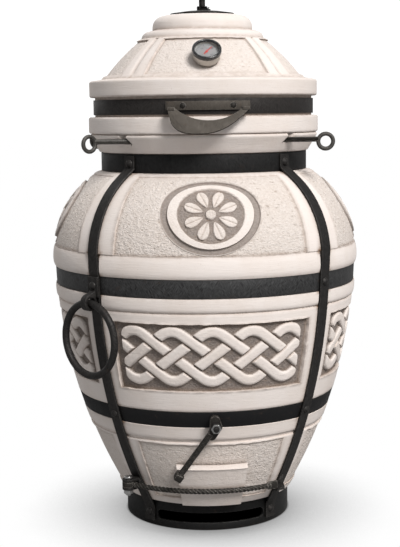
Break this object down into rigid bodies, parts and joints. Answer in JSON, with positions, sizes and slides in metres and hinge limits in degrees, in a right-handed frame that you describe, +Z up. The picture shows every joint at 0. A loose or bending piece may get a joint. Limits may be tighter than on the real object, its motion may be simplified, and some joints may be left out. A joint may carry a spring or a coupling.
{
  "type": "tandoor oven",
  "caption": "Clay charcoal oven shaped like a barrel, with a hinged clay lid, steel hoops and straps, cross rods, ring handles and an ash door behind a swinging bar.",
  "frame": {"origin": "centre of the base ring's lower edge, on the ground", "axes": "+Z up, the ash door and the thermometer face -Y, +X to the right seen from the front"},
  "size_m": [0.6098, 0.6098, 1.0381],
  "materials": {
    "clay": "matt fired clay, smooth bands with rough carved panels",
    "dark_steel": "black heatproof paint, worn on the edges",
    "hoop_steel": "dark grey paint rubbed through to steel",
    "worn_steel": "forged steel, dark with bright worn edges",
    "bare_steel": "plain machined steel",
    "cast_iron": "cast, dull and slightly rusty",
    "thermometer_metal": "spun steel",
    "black_enamel": "gloss black enamel",
    "dial_face": "printed satin plate",
    "red_paint": "red enamel",
    "lens_glass": "clear"
  },
  "bodies": {
    "oven": {"base_ring": "dark_steel", "clay_floor": "clay", "clay_belly": "clay", "clay_shoulder": "clay", "clay_collar": "clay", "neck_hoop": "hoop_steel", "girth_hoop": "hoop_steel", "lower_hoop": "hoop_steel", "strap_front_left": "dark_steel", "strap_front_right": "dark_steel", "strap_rear_left": "dark_steel", "strap_rear_right": "dark_steel", "neck_rivets": "dark_steel", "girth_rivets": "dark_steel", "lower_rivets": "dark_steel", "foot_rivets": "dark_steel", "ring_bracket_left": "dark_steel", "ring_bracket_right": "dark_steel", "hinge_bracket": "dark_steel", "hinge_bracket_rivets": "dark_steel", "hinge_pin": "bare_steel", "gate_bracket": "dark_steel", "gate_pin": "bare_steel", "gate_pin_nut": "bare_steel", "gate_keeper": "dark_steel", "latch_stud": "dark_steel", "latch_nut": "bare_steel"},
    "lid": {"lid_clay": "clay", "lid_hoop": "worn_steel", "lid_handle": "worn_steel", "lid_handle_rivets": "worn_steel", "lid_hinge_straps": "dark_steel", "lid_hinge_rivets": "dark_steel", "thermometer_case": "thermometer_metal", "thermometer_bezel": "black_enamel", "thermometer_dial": "dial_face", "thermometer_lens": "lens_glass", "thermometer_probe": "thermometer_metal", "thermometer_nut": "thermometer_metal", "damper_bridge": "dark_steel", "damper_stem": "dark_steel", "damper_stem_nuts": "bare_steel"},
    "pointer": {"thermometer_pointer": "red_paint"},
    "damper": {"damper_disc": "cast_iron"},
    "thumb_screw": {"damper_thumb_screw": "bare_steel"},
    "grate": {"grate": "cast_iron"},
    "ring_left": {"ring_handle_left": "dark_steel"},
    "ring_right": {"ring_handle_right": "dark_steel"},
    "rod_front": {"cross_rod_front": "worn_steel"},
    "rod_rear": {"cross_rod_rear": "worn_steel"},
    "gate": {"gate_bar": "worn_steel"},
    "latch": {"latch_arm": "worn_steel"},
    "ash_plug": {"ash_door": "clay"}
  },
  "joints": [
    {"name": "lid_hinge", "type": "hinge", "parent": "oven", "child": "lid", "pos_m": [0, 0.252, 0.78516], "axis": [-1, 0, 0], "range_deg": [0, 95]},
    {"name": "damper_slide", "type": "slide", "parent": "lid", "child": "damper", "axis": [0, 0, 1], "range_m": [0, 0.022]},
    {"name": "thumb_screw_turn", "type": "hinge", "parent": "damper", "child": "thumb_screw", "pos_m": [0.014, 0, 1.00846], "axis": [1, 0, 0], "range_deg": [0, 360]},
    {"name": "pointer_turn", "type": "hinge", "parent": "lid", "child": "pointer", "pos_m": [0, -0.17206, 0.90816], "axis": [0, 0.681, -0.7323], "range_deg": [-170, 100], "stiffness_Nm_per_rad": 0.002},
    {"name": "rod_front_roll", "type": "hinge", "parent": "oven", "child": "rod_front", "pos_m": [0, -0.16, 0.75416], "axis": [1, 0, 0], "range_deg": [-180, 180]},
    {"name": "rod_rear_roll", "type": "hinge", "parent": "oven", "child": "rod_rear", "pos_m": [0, 0.16, 0.75416], "axis": [1, 0, 0], "range_deg": [-180, 180]},
    {"name": "ring_left_swing", "type": "hinge", "parent": "oven", "child": "ring_left", "pos_m": [-0.22453, -0.22453, 0.4598], "axis": [-0.7071, 0.7071, 0], "range_deg": [-8, 120]},
    {"name": "ring_right_swing", "type": "hinge", "parent": "oven", "child": "ring_right", "pos_m": [0.22453, 0.22453, 0.4598], "axis": [0.7071, -0.7071, 0], "range_deg": [-8, 120]},
    {"name": "gate_swing", "type": "hinge", "parent": "oven", "child": "gate", "pos_m": [-0.1596, -0.1596, 0.095], "axis": [0, 0, -1], "range_deg": [0, 110]},
    {"name": "latch_swing", "type": "hinge", "parent": "oven", "child": "latch", "pos_m": [0.006, -0.25187, 0.235], "axis": [0, 0.9703, 0.2419], "range_deg": [0, 132]},
    {"name": "ash_door_slide", "type": "slide", "parent": "oven", "child": "ash_plug", "axis": [0, -1, 0], "range_m": [0, 0.0415]},
    {"name": "grate_lift", "type": "slide", "parent": "oven", "child": "grate", "axis": [0, 0, 1], "range_m": [0, 0.45]}
  ],
  "couplings": [
    {"joint": "latch_swing", "follows": "gate_swing", "ratio": 1.2},
    {"joint": "ash_door_slide", "follows": "gate_swing", "m_per_rad": 0.0215}
  ]
}
